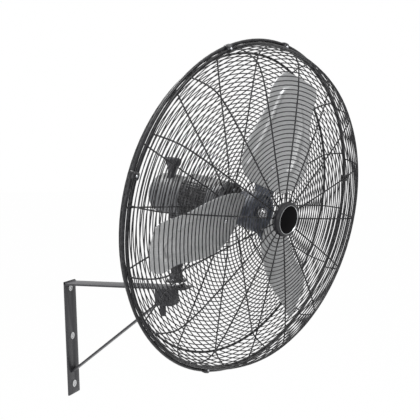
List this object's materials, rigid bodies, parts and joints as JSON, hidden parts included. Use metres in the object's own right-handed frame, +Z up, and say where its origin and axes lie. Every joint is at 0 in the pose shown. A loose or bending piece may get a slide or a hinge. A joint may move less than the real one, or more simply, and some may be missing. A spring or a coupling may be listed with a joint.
{
  "type": "wall mounted fan",
  "caption": "Oscillating wall fan: bladed rotor in a round wire cage on a ribbed motor, with a tilting neck on a triangular flat-bar wall bracket.",
  "frame": {"origin": "on the back face of the wall bracket, on its centre line, halfway between the two lower screw holes", "axes": "+Y into the wall, +Z up, -Y out into the room along the arm; the head is stored swung 21 degrees towards -X and tilted 10 degrees down"},
  "size_m": [0.7731, 0.799, 0.9321],
  "materials": {
    "bracket_paint": "semi-gloss black powder coat",
    "guard_paint": "gloss black coated wire",
    "motor_paint": "satin dark grey enamel",
    "hub_paint": "satin slate enamel",
    "blade_aluminium": "satin rolled sheet",
    "zinc": "bright zinc plate",
    "steel": "machined steel",
    "brass": "machined",
    "copper": "enamelled copper winding",
    "black_plastic": "fine texture",
    "badge_gloss": "gloss"
  },
  "bodies": {
    "bracket": {"wall_bracket": "bracket_paint", "bushing_bottom": "zinc", "bushing_middle": "zinc", "bushing_top": "zinc", "brace": "bracket_paint", "pole_base": "bracket_paint", "base_bolt_left": "zinc", "base_bolt_right": "zinc", "pole": "bracket_paint", "lower_knuckle": "bracket_paint", "tilt_bolt": "zinc", "control_box": "black_plastic", "control_cover": "black_plastic", "speed_switch": "black_plastic", "run_capacitor": "motor_paint", "cable_gland": "black_plastic"},
    "clamp_knob": {"tilt_knob": "black_plastic"},
    "speed_dial": {"speed_knob": "black_plastic"},
    "neck": {"neck": "bracket_paint", "link_pin": "steel"},
    "link": {"link_rod": "steel"},
    "head": {"rear_cover": "motor_paint", "gear_case": "steel", "gear_plate": "steel", "motor_rear_bell": "motor_paint", "motor_front_bell": "motor_paint", "stator_core": "steel", "coil_rear": "copper", "coil_front": "copper", "bearing_rear": "steel", "bearing_front": "steel", "rear_guard": "guard_paint", "guard_screw_1": "zinc", "guard_screw_2": "zinc", "guard_screw_3": "zinc", "front_guard": "guard_paint", "rim_clip_1": "guard_paint", "rim_clip_2": "guard_paint", "rim_clip_3": "guard_paint", "rim_clip_4": "guard_paint", "rim_clip_5": "guard_paint", "badge": "badge_gloss"},
    "spinner": {"shaft": "steel", "worm": "steel", "rotor": "steel", "hub": "hub_paint", "spider": "hub_paint", "hub_nut": "steel", "blade_1": "blade_aluminium", "blade_2": "blade_aluminium", "blade_3": "blade_aluminium", "blade_bolt_1_inner": "zinc", "blade_bolt_1_outer": "zinc", "blade_bolt_2_inner": "zinc", "blade_bolt_2_outer": "zinc", "blade_bolt_3_inner": "zinc", "blade_bolt_3_outer": "zinc"},
    "spindle": {"worm_wheel": "brass"},
    "crank": {"crank_gear": "steel"},
    "swing_knob": {"pull_knob": "black_plastic"}
  },
  "joints": [
    {"name": "tilt", "type": "hinge", "parent": "bracket", "child": "neck", "pos_m": [0, -0.33, 0.3235], "axis": [1, 0, 0], "range_deg": [-25.2, 19.8]},
    {"name": "clamp_turn", "type": "hinge", "parent": "bracket", "child": "clamp_knob", "pos_m": [0, -0.33, 0.3235], "axis": [1, 0, 0], "range_deg": [0, 270]},
    {"name": "swing", "type": "hinge", "parent": "neck", "child": "head", "pos_m": [0, -0.35621, 0.46916], "axis": [0, -0.1771, 0.9842], "range_deg": [-23.8, 66.2]},
    {"name": "blade_spin", "type": "hinge", "parent": "head", "child": "spinner", "pos_m": [0, -0.35621, 0.46916], "axis": [-0.3616, -0.9176, -0.1651], "continuous": true},
    {"name": "spindle_spin", "type": "hinge", "parent": "head", "child": "spindle", "pos_m": [-0.00992, -0.32286, 0.47516], "axis": [0, -0.1771, 0.9842], "continuous": true},
    {"name": "crank_spin", "type": "hinge", "parent": "head", "child": "crank", "pos_m": [0.01374, -0.32134, 0.47543], "axis": [0, -0.1771, 0.9842], "continuous": true},
    {"name": "link_swing", "type": "hinge", "parent": "neck", "child": "link", "pos_m": [0.02, -0.35621, 0.46916], "axis": [0, -0.1771, 0.9842], "range_deg": [-20, 54]},
    {"name": "knob_pull", "type": "slide", "parent": "head", "child": "swing_knob", "axis": [0, -0.1771, 0.9842], "range_m": [0, 0.008]},
    {"name": "speed_select", "type": "hinge", "parent": "bracket", "child": "speed_dial", "pos_m": [0, -0.32376, 0.2041], "axis": [-1, 0, 0], "range_deg": [0, 135]}
  ],
  "couplings": [
    {"joint": "spindle_spin", "follows": "blade_spin", "ratio": 0.0625},
    {"joint": "crank_spin", "follows": "blade_spin", "ratio": -0.016973},
    {"joint": "link_swing", "follows": "swing", "ratio": 0.8}
  ]
}
